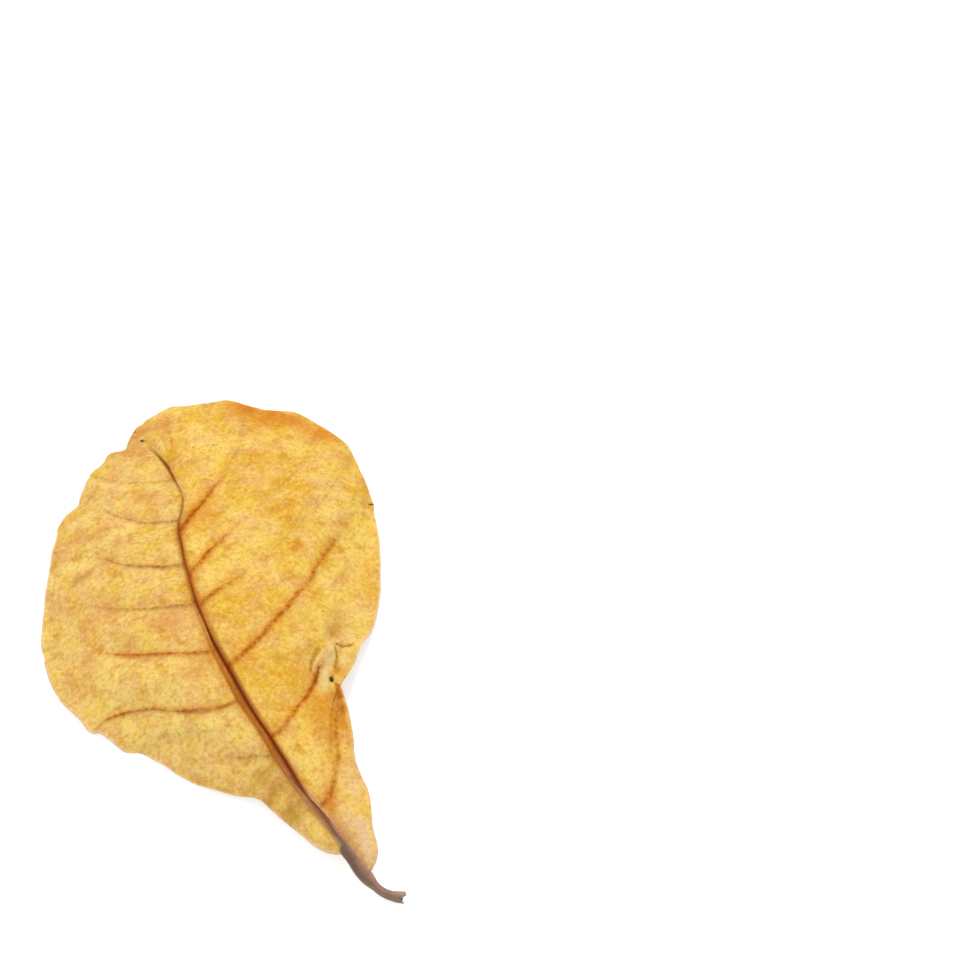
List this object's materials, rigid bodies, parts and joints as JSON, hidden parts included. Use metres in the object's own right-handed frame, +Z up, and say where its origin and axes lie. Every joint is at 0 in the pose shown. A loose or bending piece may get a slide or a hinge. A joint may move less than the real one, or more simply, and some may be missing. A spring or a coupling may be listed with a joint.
{
  "type": "dried indian almond leaf",
  "caption": "Single dried broad leaf with a raised midrib, arched side veins, a wavy margin and a short curved stalk, lying with its underside up.",
  "frame": {"origin": "middle of the leaf's bounding box in plan, at the height of the surface it lies on", "axes": "+Y from the stalk to the tip of the leaf, +Z up out of its underside, which faces up"},
  "size_m": [0.1182, 0.2026, 0.0177],
  "materials": {
    "dried_leaf": "dry, matt, golden yellow with brown veins and mottling"
  },
  "bodies": {
    "root": {"leaf": "dried_leaf"}
  },
  "joints": []
}
